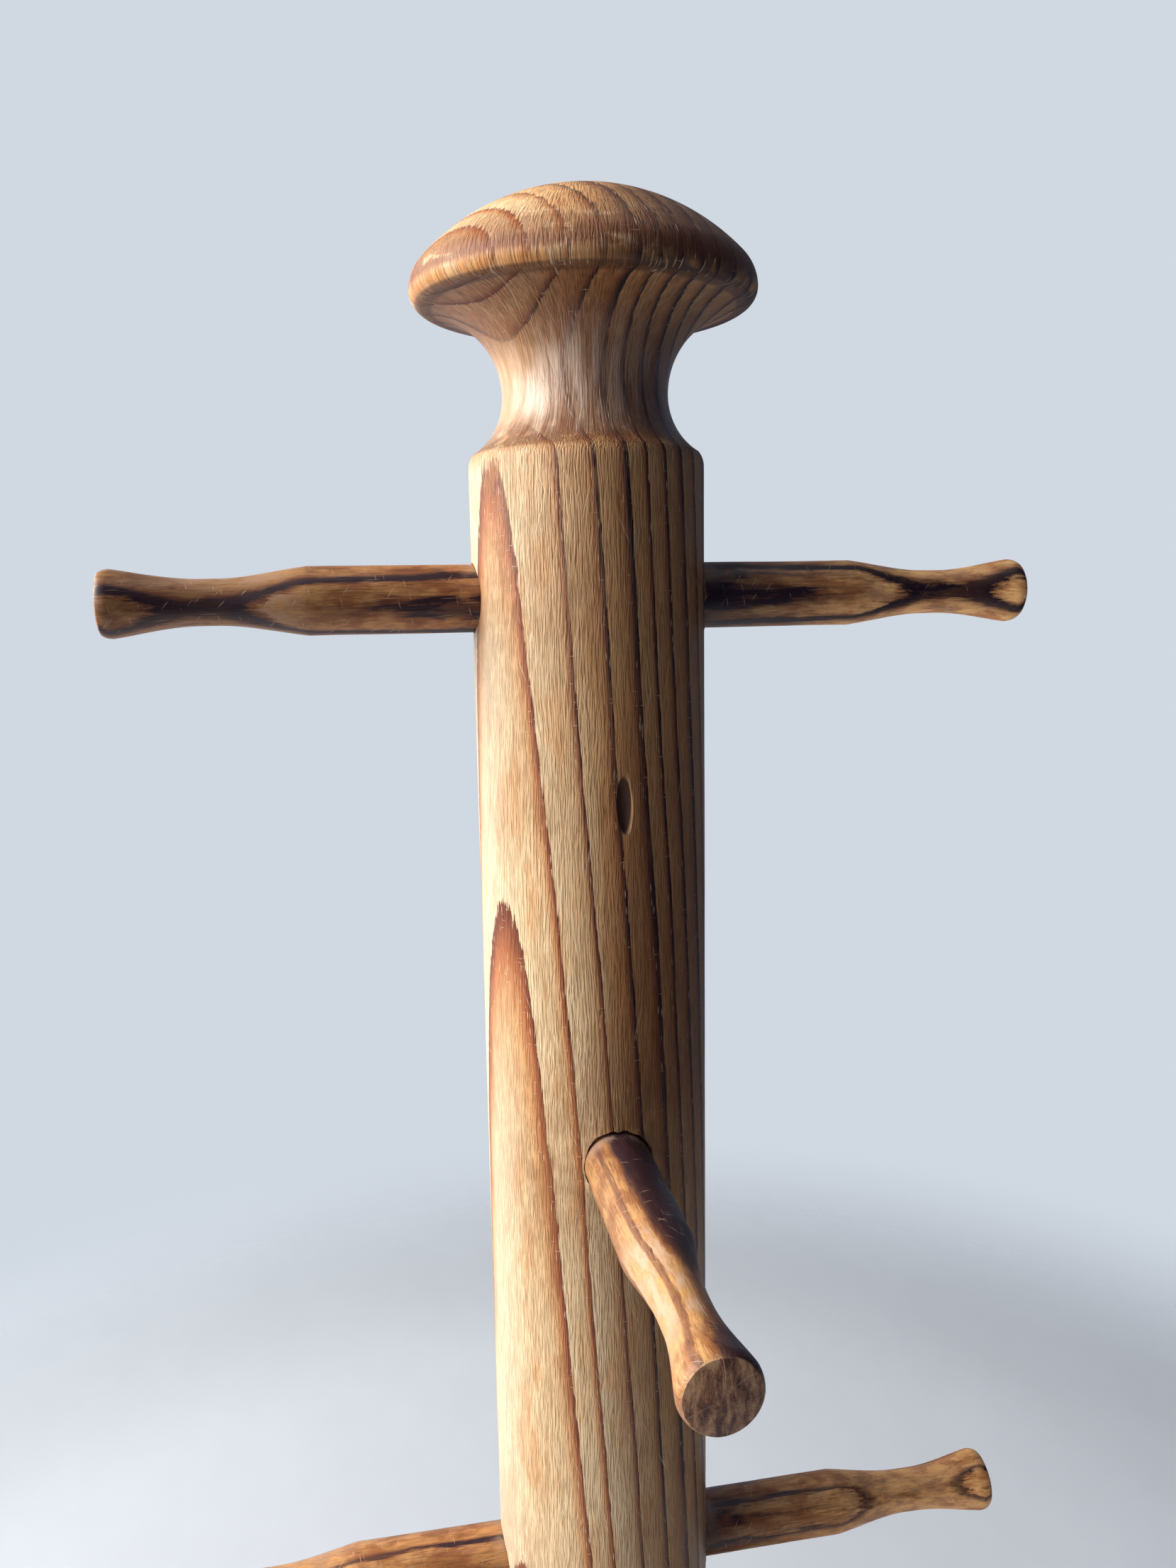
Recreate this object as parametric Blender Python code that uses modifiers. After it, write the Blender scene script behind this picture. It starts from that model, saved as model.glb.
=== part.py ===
"""Wooden mug tree: a turned post with a mushroom knob, a round base and six waisted pegs.

Run with: blender --background --python part.py
Metres, +Z up. The origin is on the surface that the felt pads stand on, on the post's axis.
The top and bottom pegs point along X, the middle pegs along Y, and the front is -Y.
"""

import math

import bpy

MM = 0.001

# Clearance that neighbouring solids keep from each other.
GAP = 0.3 * MM

# How far a cutter reaches past the surface that it opens.
OVERSHOOT = 1 * MM

# Heights above the surface that the tree stands on.
PAD_THICKNESS = 2 * MM
BASE_BOTTOM = PAD_THICKNESS + GAP
BASE_TOP = 20 * MM
TIER_BOTTOM = 115 * MM
TIER_MIDDLE = 207 * MM
TIER_TOP = 307 * MM

# Post and its knob. Heights in this block are above the top tier of pegs.
POST_RADIUS = 21 * MM
POST_FOOT_CHAMFER = 0.6 * MM
SHOULDER_RADIUS = 3.9 * MM
SHOULDER_EDGE_RADIUS = 20.25 * MM
NECK_RADIUS = 14.7 * MM
NECK_HEIGHT = 35 * MM
LOWER_COVE = 12.2 * MM
UPPER_COVE = 14.8 * MM
UPPER_COVE_END = math.radians(80)
KNOB_TOP_HEIGHT = 68.9 * MM
DOME_RADIUS = 39.2 * MM
DOME_ANGLE = math.radians(47)
RIM_UPPER_ROUND = 6.2 * MM
RIM_LOWER_ROUND = 2.6 * MM
RIM_LOWER_END = math.radians(75)

# Joint between post and base.
TENON_RADIUS = 12 * MM
TENON_LENGTH = 12 * MM

# Base disc.
BASE_RADIUS = 72.5 * MM
BASE_CROWN = 2.2 * MM
BASE_SEAT_RADIUS = 25 * MM
BASE_EDGE_ROUND = 7 * MM
BASE_FOOT_CHAMFER = 1.2 * MM

# Pegs. Lengths are from the post's surface outwards.
PEG_RADIUS = 6 * MM
PEG_WAIST_RADIUS = 4.05 * MM
PEG_FLARE_RADIUS = 5.9 * MM
PEG_STRAIGHT = 28.7 * MM
PEG_SHOULDER_END = 44.3 * MM
PEG_SHOULDER_SOFTNESS = 0.35
PEG_WAIST_END = 46.8 * MM
PEG_FLARE = 61.2 * MM
PEG_FLARE_SOFTNESS = 0.25
PEG_LENGTH = 63.4 * MM
PEG_END_RADIUS = 5.35 * MM
PEG_END_DOME = 0.4 * MM
PEG_END_ANGLE = math.radians(65)
PEG_DEPTH = 16 * MM
PEG_INNER_CHAMFER = 1 * MM

# Countersunk wood screw through the base into the post.
SCREW_LENGTH = 38 * MM
SCREW_HEAD_RADIUS = 5 * MM
SCREW_HEAD_DEPTH = 3 * MM
SCREW_HEAD_RIM = 0.3 * MM
SCREW_CORE_RADIUS = 1.6 * MM
SCREW_THREAD_RADIUS = 2.4 * MM
SCREW_SHANK_END = 12 * MM
SCREW_PITCH = 2.2 * MM
SCREW_FLANK = 0.4 * SCREW_PITCH
SCREW_ROOT = SCREW_PITCH - 2 * SCREW_FLANK
SCREW_TIP = 4 * MM
RECESS_LENGTH = 5.2 * MM
RECESS_WIDTH = 1.1 * MM
RECESS_DEPTH = 1.8 * MM
SCREW_BOTTOM = BASE_BOTTOM + GAP

# Felt pads under the base.
PAD_RADIUS = 8 * MM
PAD_EDGE = 0.3 * MM
PAD_CIRCLE = 56 * MM
PAD_COUNT = 4

# Facets round each turned shape.
POST_STEPS = 48
BASE_STEPS = 64
PEG_STEPS = 24
SCREW_STEPS = 16
HOLE_STEPS = 32
PAD_STEPS = 24


def clear_scene():
    for obj in list(bpy.data.objects):
        bpy.data.objects.remove(obj, do_unlink=True)


def make_collection(name):
    collection = bpy.data.collections.new(name)
    bpy.context.scene.collection.children.link(collection)
    return collection


def make_material(name, colour, roughness, metallic=0.0):
    material = bpy.data.materials.new(name)
    material.use_nodes = True
    shader = material.node_tree.nodes["Principled BSDF"]
    shader.inputs["Base Color"].default_value = (*colour, 1.0)
    shader.inputs["Roughness"].default_value = roughness
    shader.inputs["Metallic"].default_value = metallic
    material.diffuse_color = (*colour, 1.0)
    return material


def arc(centre, radius, start, end, count):
    """Points of an arc in the radius-height plane, angles in radians from the outward direction."""
    points = []
    for i in range(count + 1):
        angle = start + (end - start) * i / count
        points.append((centre[0] + radius * math.cos(angle), centre[1] + radius * math.sin(angle)))
    return points


def ease(corner, waist, softness, count):
    """From a corner to the waist, both (distance, radius). A softness of 1 rounds the corner away."""
    points = []
    for i in range(count + 1):
        t = i / count
        half_wave = (1 - math.cos(math.pi * t)) / 2
        quarter_wave = math.sin(math.pi * t / 2)
        fall = quarter_wave + (half_wave - quarter_wave) * softness
        points.append((corner[0] + (waist[0] - corner[0]) * t, corner[1] + (waist[1] - corner[1]) * fall))
    return points


def turned(name, profile, steps, material, collection):
    """A solid of revolution about its own Z. The profile is (radius, height), top to bottom."""
    mesh = bpy.data.meshes.new(name)
    verts = [(radius, 0.0, height) for radius, height in profile]
    edges = [(i, i + 1) for i in range(len(verts) - 1)]
    mesh.from_pydata(verts, edges, [])
    obj = bpy.data.objects.new(name, mesh)
    collection.objects.link(obj)
    screw = obj.modifiers.new("Turn", 'SCREW')
    screw.steps = steps
    screw.render_steps = steps
    screw.use_merge_vertices = True
    screw.merge_threshold = 0.00001
    screw.use_smooth_shade = True
    if material:
        mesh.materials.append(material)
    return obj


def cut(obj, cutter):
    """Take the cutter's shape out of the object, and leave the cutter out of the picture."""
    boolean = obj.modifiers.new("Cut " + cutter.name, 'BOOLEAN')
    boolean.operation = 'DIFFERENCE'
    boolean.solver = 'EXACT'
    boolean.object = cutter
    cutter.hide_render = True
    cutter.display_type = 'WIRE'


def point_along(obj, direction, height):
    """Turn an object so that its +Z points along a horizontal direction, at a height on the axis."""
    obj.location = (0.0, 0.0, height)
    obj.rotation_euler = (0.0, math.pi / 2, math.atan2(direction[1], direction[0]))


def knob_profile():
    """Dome, rounded rim, and the two coves of the neck down to the shoulder's edge."""
    top = TIER_TOP + KNOB_TOP_HEIGHT
    neck = TIER_TOP + NECK_HEIGHT
    quarter = math.pi / 2
    dome = arc((0.0, top - DOME_RADIUS), DOME_RADIUS, quarter, quarter - DOME_ANGLE, 8)
    reach = DOME_RADIUS - RIM_UPPER_ROUND
    rim_centre = (reach * math.sin(DOME_ANGLE), top - DOME_RADIUS + reach * math.cos(DOME_ANGLE))
    upper_rim = arc(rim_centre, RIM_UPPER_ROUND, quarter - DOME_ANGLE, 0.0, 4)
    lower_centre = (rim_centre[0] + RIM_UPPER_ROUND - RIM_LOWER_ROUND, rim_centre[1])
    lower_rim = arc(lower_centre, RIM_LOWER_ROUND, 0.0, -RIM_LOWER_END, 4)
    upper_centre = (NECK_RADIUS + UPPER_COVE, neck)
    upper_cove = arc(upper_centre, UPPER_COVE, math.pi - UPPER_COVE_END, math.pi, 8)
    lower_centre = (NECK_RADIUS + LOWER_COVE, neck)
    edge_angle = math.acos((lower_centre[0] - SHOULDER_EDGE_RADIUS) / LOWER_COVE)
    lower_cove = arc(lower_centre, LOWER_COVE, math.pi, math.pi + edge_angle, 6)
    dome[0] = (0.0, top)
    return dome + upper_rim[1:] + lower_rim[1:] + upper_cove + lower_cove[1:]


def post_profile():
    profile = knob_profile()
    edge_height = profile[-1][1]
    start = math.acos(1 - (POST_RADIUS - SHOULDER_EDGE_RADIUS) / SHOULDER_RADIUS)
    centre = (POST_RADIUS - SHOULDER_RADIUS, edge_height - SHOULDER_RADIUS * math.sin(start))
    profile += arc(centre, SHOULDER_RADIUS, start, 0.0, 3)[1:]
    foot = BASE_TOP + GAP
    profile.append((POST_RADIUS, foot + POST_FOOT_CHAMFER))
    profile.append((POST_RADIUS - POST_FOOT_CHAMFER, foot))
    profile.append((TENON_RADIUS, foot))
    profile.append((TENON_RADIUS, foot - TENON_LENGTH + POST_FOOT_CHAMFER))
    profile.append((TENON_RADIUS - POST_FOOT_CHAMFER, foot - TENON_LENGTH))
    profile.append((0.0, foot - TENON_LENGTH))
    return profile


def base_profile():
    """A seat for the post, a gently falling top, a rounded edge and a small chamfer below."""
    edge_top = BASE_TOP - BASE_CROWN
    edge_centre = (BASE_RADIUS - BASE_EDGE_ROUND, edge_top - BASE_EDGE_ROUND)
    profile = [(0.0, BASE_TOP), (BASE_SEAT_RADIUS, BASE_TOP)]
    fall = BASE_RADIUS - BASE_EDGE_ROUND - BASE_SEAT_RADIUS
    for i in range(1, 7):
        t = i / 6
        profile.append((BASE_SEAT_RADIUS + fall * t, BASE_TOP - BASE_CROWN * t * t))
    profile += arc(edge_centre, BASE_EDGE_ROUND, math.pi / 2, 0.0, 6)[1:]
    profile.append((BASE_RADIUS, BASE_BOTTOM + BASE_FOOT_CHAMFER))
    profile.append((BASE_RADIUS - BASE_FOOT_CHAMFER, BASE_BOTTOM))
    profile.append((0.0, BASE_BOTTOM))
    return profile


def peg_profile():
    """From the outer end inwards, as distance along the peg from the post's axis."""
    corner = (PEG_STRAIGHT, PEG_RADIUS)
    outline = ease(corner, (PEG_SHOULDER_END, PEG_WAIST_RADIUS), PEG_SHOULDER_SOFTNESS, 5)
    corner = (PEG_FLARE, PEG_FLARE_RADIUS)
    outline += reversed(ease(corner, (PEG_WAIST_END, PEG_WAIST_RADIUS), PEG_FLARE_SOFTNESS, 6))
    rim_length = PEG_LENGTH - PEG_END_DOME - PEG_FLARE
    rim_fall = PEG_FLARE_RADIUS - PEG_END_RADIUS
    for i in range(1, 4):
        angle = PEG_END_ANGLE * i / 3
        distance = rim_length * math.sin(angle) / math.sin(PEG_END_ANGLE)
        fall = rim_fall * (1 - math.cos(angle)) / (1 - math.cos(PEG_END_ANGLE))
        outline.append((PEG_FLARE + distance, PEG_FLARE_RADIUS - fall))
    outline.append((PEG_LENGTH, 0.0))
    profile = [(radius, POST_RADIUS + distance) for distance, radius in reversed(outline)]
    inner = POST_RADIUS - PEG_DEPTH
    profile.append((PEG_RADIUS, inner + PEG_INNER_CHAMFER))
    profile.append((PEG_RADIUS - PEG_INNER_CHAMFER, inner))
    profile.append((0.0, inner))
    return profile


def screw_profile():
    """Point, thread, plain shank and countersunk head of the wood screw, top to bottom."""
    top = SCREW_BOTTOM + SCREW_LENGTH
    profile = [(0.0, top), (SCREW_CORE_RADIUS, top - SCREW_TIP)]
    height = top - SCREW_TIP - SCREW_ROOT
    lowest = SCREW_BOTTOM + SCREW_SHANK_END
    while height - SCREW_PITCH > lowest:
        profile.append((SCREW_CORE_RADIUS, height))
        profile.append((SCREW_THREAD_RADIUS, height - SCREW_FLANK))
        profile.append((SCREW_CORE_RADIUS, height - 2 * SCREW_FLANK))
        height -= SCREW_PITCH
    profile.append((SCREW_THREAD_RADIUS, lowest))
    profile.append((SCREW_THREAD_RADIUS, SCREW_BOTTOM + SCREW_HEAD_DEPTH))
    profile.append((SCREW_HEAD_RADIUS, SCREW_BOTTOM + SCREW_HEAD_RIM))
    profile.append((SCREW_HEAD_RADIUS, SCREW_BOTTOM))
    profile.append((0.0, SCREW_BOTTOM))
    return profile


def pad_profile():
    return [
        (0.0, PAD_THICKNESS),
        (PAD_RADIUS, PAD_THICKNESS),
        (PAD_RADIUS, PAD_EDGE),
        (PAD_RADIUS - PAD_EDGE, 0.0),
        (0.0, 0.0),
    ]


def plug_profile(radius, bottom, top):
    return [(0.0, top), (radius, top), (radius, bottom), (0.0, bottom)]


def make_pegs(post, collection, cutters, wood):
    """Six pegs in three crossing pairs, each in a blind hole bored square to the post."""
    pegs = {
        "peg_top_left": ((-1, 0), TIER_TOP),
        "peg_top_right": ((1, 0), TIER_TOP),
        "peg_middle_front": ((0, -1), TIER_MIDDLE),
        "peg_middle_back": ((0, 1), TIER_MIDDLE),
        "peg_bottom_left": ((-1, 0), TIER_BOTTOM),
        "peg_bottom_right": ((1, 0), TIER_BOTTOM),
    }
    bore = plug_profile(PEG_RADIUS + GAP, POST_RADIUS - PEG_DEPTH - GAP, POST_RADIUS + OVERSHOOT)
    for name, (direction, height) in pegs.items():
        peg = turned(name, peg_profile(), PEG_STEPS, wood, collection)
        point_along(peg, direction, height)
        cutter = turned("bore_" + name, bore, PEG_STEPS, None, cutters)
        point_along(cutter, direction, height)
        cut(post, cutter)


def make_base(collection, cutters, wood):
    """The base disc, with a mortise for the post's tenon and a countersunk screw hole."""
    base = turned("base", base_profile(), BASE_STEPS, wood, collection)
    mortise_bottom = BASE_TOP - TENON_LENGTH
    mortise = plug_profile(TENON_RADIUS + GAP, mortise_bottom, BASE_TOP + OVERSHOOT)
    clearance = SCREW_THREAD_RADIUS + GAP
    head = SCREW_HEAD_RADIUS + GAP
    cone_top = SCREW_BOTTOM + SCREW_HEAD_DEPTH + GAP
    screw_hole = [
        (0.0, mortise_bottom + OVERSHOOT),
        (clearance, mortise_bottom + OVERSHOOT),
        (clearance, cone_top),
        (head, SCREW_BOTTOM + SCREW_HEAD_RIM),
        (head, BASE_BOTTOM - OVERSHOOT),
        (0.0, BASE_BOTTOM - OVERSHOOT),
    ]
    for name, profile in (("mortise", mortise), ("screw_hole", screw_hole)):
        cutter = turned(name, profile, HOLE_STEPS, None, cutters)
        cut(base, cutter)


def make_screw(post, collection, cutters, steel):
    screw = turned("base_screw", screw_profile(), SCREW_STEPS, steel, collection)
    for i in range(2):
        bpy.ops.mesh.primitive_cube_add(size=1.0, location=(0.0, 0.0, SCREW_BOTTOM))
        slot = bpy.context.object
        slot.name = "recess_" + str(i + 1)
        slot.scale = (RECESS_LENGTH, RECESS_WIDTH, 2 * RECESS_DEPTH)
        slot.rotation_euler = (0.0, 0.0, math.pi / 4 + i * math.pi / 2)
        for owner in list(slot.users_collection):
            owner.objects.unlink(slot)
        cutters.objects.link(slot)
        cut(screw, slot)
    pilot_top = SCREW_BOTTOM + SCREW_LENGTH + GAP
    pilot = plug_profile(SCREW_THREAD_RADIUS + GAP, BASE_TOP - TENON_LENGTH - OVERSHOOT, pilot_top)
    cutter = turned("pilot_hole", pilot, HOLE_STEPS, None, cutters)
    cut(post, cutter)


def make_pads(collection, felt):
    for i in range(PAD_COUNT):
        angle = 2 * math.pi * (i + 0.5) / PAD_COUNT
        pad = turned("felt_pad_" + str(i + 1), pad_profile(), PAD_STEPS, felt, collection)
        pad.location = (PAD_CIRCLE * math.cos(angle), PAD_CIRCLE * math.sin(angle), 0.0)


def main():
    clear_scene()
    collection = make_collection("mug_tree")
    cutters = make_collection("cutters")
    pine = make_material("pine", (0.58, 0.36, 0.17), 0.5)
    peg_wood = make_material("stained peg wood", (0.30, 0.15, 0.06), 0.45)
    steel = make_material("zinc plated steel", (0.62, 0.60, 0.55), 0.35, 1.0)
    felt = make_material("brown felt", (0.11, 0.075, 0.05), 0.95)
    post = turned("post", post_profile(), POST_STEPS, pine, collection)
    make_pegs(post, collection, cutters, peg_wood)
    make_base(collection, cutters, pine)
    make_screw(post, collection, cutters, steel)
    make_pads(collection, felt)


main()
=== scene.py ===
"""Looks of the wooden mug tree: turned pine post and base, stained pegs, felt pads and screw.

Lengths in this script are in metres, and the wood materials work in millimetres.
Angles round the post are measured from +X towards +Y.
"""

import math
from collections import namedtuple
from types import SimpleNamespace

import bpy
import numpy as np
from mathutils import Matrix, Vector


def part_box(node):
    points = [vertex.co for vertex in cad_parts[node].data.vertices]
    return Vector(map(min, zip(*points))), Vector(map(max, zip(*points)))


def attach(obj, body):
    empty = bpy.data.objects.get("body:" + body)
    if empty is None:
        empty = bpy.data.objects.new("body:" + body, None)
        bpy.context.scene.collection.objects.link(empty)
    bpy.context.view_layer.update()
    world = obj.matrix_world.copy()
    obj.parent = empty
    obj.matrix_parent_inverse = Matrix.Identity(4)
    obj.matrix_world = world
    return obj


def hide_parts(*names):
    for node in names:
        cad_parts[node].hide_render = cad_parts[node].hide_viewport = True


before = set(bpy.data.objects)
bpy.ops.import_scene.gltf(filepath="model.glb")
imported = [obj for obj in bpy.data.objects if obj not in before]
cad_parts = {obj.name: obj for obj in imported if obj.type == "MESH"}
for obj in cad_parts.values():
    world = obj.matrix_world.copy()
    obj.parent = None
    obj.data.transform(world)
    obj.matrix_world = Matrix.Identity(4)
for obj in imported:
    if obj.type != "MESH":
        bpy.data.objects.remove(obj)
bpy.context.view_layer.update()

MM = 0.001

# ---------------------------------------------------------------- sizes read from the frame

POST_LOW, POST_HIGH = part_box("post")
BASE_LOW, BASE_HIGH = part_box("base")
PAD_LOW, PAD_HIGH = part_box("felt_pad_1")
SCREW_LOW, SCREW_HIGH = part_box("base_screw")


def tier_height(node):
    low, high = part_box(node)
    return (low.z + high.z) / 2


TIER_TOP = tier_height("peg_top_left")
TIER_MIDDLE = tier_height("peg_middle_front")
TIER_BOTTOM = tier_height("peg_bottom_left")
PEG_LOW, PEG_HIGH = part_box("peg_top_right")
PEG_RADIUS = (PEG_HIGH.z - PEG_LOW.z) / 2
PEG_INNER = PEG_LOW.x
PEG_OUTER = PEG_HIGH.x
BASE_RADIUS = BASE_HIGH.x
BASE_TOP = BASE_HIGH.z
BASE_BOTTOM = BASE_LOW.z
KNOB_TOP = POST_HIGH.z

# Sizes that no box gives. Pieces that touch are a gap apart.
GAP = 0.3 * MM
POST_RADIUS = 21 * MM
TENON_RADIUS = 12 * MM
SCREW_HEAD_DEPTH = 3 * MM
SHANK_HOLE_RADIUS = 2.7 * MM

# Direction of the camera from the post's axis.
FRONT = math.radians(-100.5)

PEGS = {
    "peg_top_left": ((-1, 0), TIER_TOP),
    "peg_top_right": ((1, 0), TIER_TOP),
    "peg_middle_front": ((0, -1), TIER_MIDDLE),
    "peg_middle_back": ((0, 1), TIER_MIDDLE),
    "peg_bottom_left": ((-1, 0), TIER_BOTTOM),
    "peg_bottom_right": ((1, 0), TIER_BOTTOM),
}


# ---------------------------------------------------------------- mesh helpers


def smooth_noise(seed, *coords):
    """Smooth value between about -1 and 1: a few sines with seeded directions and phases."""
    rng = np.random.default_rng(seed)
    total = 0.0
    for octave in range(4):
        phase = rng.uniform(0, 2 * math.pi)
        angle = phase
        for coord in coords:
            angle = angle + coord * rng.uniform(0.6, 1.5) * 1.7 ** octave * rng.choice([-1, 1])
        total = total + np.sin(angle + 1.3 * np.sin(angle * 0.37 + phase)) / 1.6 ** octave
    return total / 2.1


def arc(centre, radius, start, end, count):
    """Points of an arc in the radius-height plane, angles from the outward direction."""
    angles = np.linspace(start, end, count + 1)
    return [(centre[0] + radius * math.cos(a), centre[1] + radius * math.sin(a)) for a in angles]


def resample(points, spacing):
    """Points along the polyline no further apart than spacing, keeping its own points."""
    result = [points[0]]
    for start, end in zip(points, points[1:]):
        length = math.dist(start, end)
        count = max(1, math.ceil(length / spacing))
        for i in range(1, count + 1):
            t = i / count
            result.append((start[0] + (end[0] - start[0]) * t, start[1] + (end[1] - start[1]) * t))
    return result


def turned_mesh(name, profile, segments, push=None):
    """A closed solid of revolution about Z. push(angle, radius, height) moves the skin outwards."""
    on_axis = 1e-7
    rings = [p for p in profile if p[0] > on_axis]
    radius = np.array([p[0] for p in rings])[:, None]
    height = np.array([p[1] for p in rings])[:, None]
    angle = np.linspace(0, 2 * math.pi, segments, endpoint=False)[None, :]
    skin = radius + (push(angle, radius, height) if push else 0.0) + 0 * angle
    x = skin * np.cos(angle)
    y = skin * np.sin(angle)
    z = height + 0 * angle
    verts = np.stack([x, y, z], -1).reshape(-1, 3).tolist()
    top = len(verts)
    verts += [(0.0, 0.0, profile[0][1]), (0.0, 0.0, profile[-1][1])]
    faces = []
    for row in range(len(rings) - 1):
        for i in range(segments):
            j = (i + 1) % segments
            a, b = row * segments + i, row * segments + j
            faces.append((a, a + segments, b + segments, b))
    last = (len(rings) - 1) * segments
    for i in range(segments):
        j = (i + 1) % segments
        faces.append((top, i, j))
        faces.append((top + 1, last + j, last + i))
    mesh = bpy.data.meshes.new(name)
    mesh.from_pydata(verts, [], faces)
    mesh.validate()
    obj = bpy.data.objects.new(name, mesh)
    bpy.context.scene.collection.objects.link(obj)
    return obj


def aim(obj, direction, height):
    """Put a solid turned about Z on a horizontal axis through the post, in its mesh."""
    turn = Matrix.Rotation(math.atan2(direction[1], direction[0]), 4, 'Z')
    tip = Matrix.Rotation(math.pi / 2, 4, 'Y')
    obj.data.transform(Matrix.Translation((0, 0, height)) @ turn @ tip)


def cut_away(obj, cutters):
    """Subtract each cutter from obj for good, and delete the cutters."""
    for cutter in cutters:
        boolean = obj.modifiers.new("cut", 'BOOLEAN')
        boolean.solver = 'EXACT'
        boolean.operation = 'DIFFERENCE'
        boolean.object = cutter
    bpy.context.view_layer.update()
    graph = bpy.context.evaluated_depsgraph_get()
    mesh = bpy.data.meshes.new_from_object(obj.evaluated_get(graph))
    obj.modifiers.clear()
    obj.data = mesh
    for cutter in cutters:
        bpy.data.objects.remove(cutter, do_unlink=True)


def finish_piece(obj, material, node, sharp_degrees=24):
    """Smooth shading, one material, the piece's body, and its CAD node hidden."""
    mesh = obj.data
    mesh.materials.clear()
    mesh.materials.append(material)
    mesh.polygons.foreach_set("use_smooth", [True] * len(mesh.polygons))
    mesh.set_sharp_from_angle(angle=math.radians(sharp_degrees))
    mesh.update()
    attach(obj, "root")
    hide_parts(node)


# ---------------------------------------------------------------- material helpers


def rgb(red, green, blue):
    """A screen colour, 0 to 255, as the linear colour that shaders take."""
    linear = []
    for level in (red, green, blue):
        level = level / 255
        linear.append(level / 12.92 if level <= 0.04045 else ((level + 0.055) / 1.055) ** 2.4)
    return (*linear, 1.0)


class Graph:
    """Builds nodes in one tree. Values may be numbers or sockets."""

    def __init__(self, tree):
        self.tree = tree

    def put(self, socket, value):
        if isinstance(value, bpy.types.NodeSocket):
            self.tree.links.new(value, socket)
        else:
            socket.default_value = value

    def maths(self, operation, *values, clamp=False):
        node = self.tree.nodes.new("ShaderNodeMath")
        node.operation = operation
        node.use_clamp = clamp
        for socket, value in zip(node.inputs, values):
            self.put(socket, value)
        return node.outputs[0]

    def chain(self, operation, values):
        """The first value with the second, that with the third, and so on."""
        total = values[0]
        for value in values[1:]:
            total = self.maths(operation, total, value)
        return total

    def times(self, *values):
        return self.chain('MULTIPLY', values)

    def plus(self, *values):
        return self.chain('ADD', values)

    def most(self, *values):
        return self.chain('MAXIMUM', values)

    def minus(self, first, second):
        return self.maths('SUBTRACT', first, second)

    def scaled(self, value, gain, offset, clamp=False):
        """value x gain + offset."""
        return self.maths('MULTIPLY_ADD', value, gain, offset, clamp=clamp)

    def vector(self, operation, *values, scale=None):
        node = self.tree.nodes.new("ShaderNodeVectorMath")
        node.operation = operation
        for socket, value in zip(node.inputs, values):
            self.put(socket, value)
        if scale is not None:
            self.put(node.inputs["Scale"], scale)
        single = operation in ('DOT_PRODUCT', 'LENGTH')
        return node.outputs["Value"] if single else node.outputs[0]

    def split(self, value):
        node = self.tree.nodes.new("ShaderNodeSeparateXYZ")
        self.put(node.inputs[0], value)
        return node.outputs[0], node.outputs[1], node.outputs[2]

    def join(self, x, y, z):
        node = self.tree.nodes.new("ShaderNodeCombineXYZ")
        for socket, value in zip(node.inputs, (x, y, z)):
            self.put(socket, value)
        return node.outputs[0]

    def noise(self, place, scale, detail=2.0, roughness=0.5, distortion=0.0, colour=False):
        """Smooth noise. scale is a number, or one for each axis."""
        if isinstance(scale, tuple):
            place = self.vector('MULTIPLY', place, scale)
            scale = 1.0
        node = self.tree.nodes.new("ShaderNodeTexNoise")
        self.put(node.inputs["Vector"], place)
        self.put(node.inputs["Scale"], scale)
        self.put(node.inputs["Detail"], detail)
        self.put(node.inputs["Roughness"], roughness)
        self.put(node.inputs["Distortion"], distortion)
        return node.outputs["Color"] if colour else node.outputs[0]

    def cells(self, place, scale):
        """Voronoi cells: distance to the nearest point, and that cell's random colour."""
        node = self.tree.nodes.new("ShaderNodeTexVoronoi")
        self.put(node.inputs["Vector"], place)
        self.put(node.inputs["Scale"], scale)
        return node.outputs["Distance"], node.outputs["Color"]

    def ramp(self, value, stops, interpolation='LINEAR'):
        """Grey levels or colours at positions, stops being (position, level) pairs."""
        node = self.tree.nodes.new("ShaderNodeValToRGB")
        node.color_ramp.interpolation = interpolation
        elements = node.color_ramp.elements
        while len(elements) < len(stops):
            elements.new(1.0)
        for element, (position, level) in zip(elements, stops):
            element.position = position
            element.color = level if isinstance(level, tuple) else (level, level, level, 1.0)
        self.put(node.inputs[0], value)
        return node.outputs[0]

    def mix(self, amount, first, second, blend='MIX'):
        node = self.tree.nodes.new("ShaderNodeMix")
        node.data_type = 'RGBA'
        node.blend_type = blend
        self.put(node.inputs[0], amount)
        self.put(node.inputs[6], first)
        self.put(node.inputs[7], second)
        return node.outputs[2]

    def stretch(self, value, low, high):
        """0 below low, 1 above high, straight between."""
        node = self.tree.nodes.new("ShaderNodeMapRange")
        self.put(node.inputs["Value"], value)
        node.inputs["From Min"].default_value = low
        node.inputs["From Max"].default_value = high
        return node.outputs[0]

    def between(self, value, low, high):
        """0 below low, 1 above high, smooth between. low above high turns it round."""
        node = self.tree.nodes.new("ShaderNodeMapRange")
        node.interpolation_type = 'SMOOTHSTEP'
        self.put(node.inputs["Value"], value)
        if low > high:
            low, high = high, low
            start, end = 1.0, 0.0
        else:
            start, end = 0.0, 1.0
        for name, number in (("From Min", low), ("From Max", high), ("To Min", start), ("To Max", end)):
            node.inputs[name].default_value = number
        return node.outputs[0]

    def bump(self, height, distance):
        node = self.tree.nodes.new("ShaderNodeBump")
        node.inputs["Strength"].default_value = 1.0
        node.inputs["Distance"].default_value = distance
        self.put(node.inputs["Height"], height)
        return node.outputs[0]


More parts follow.
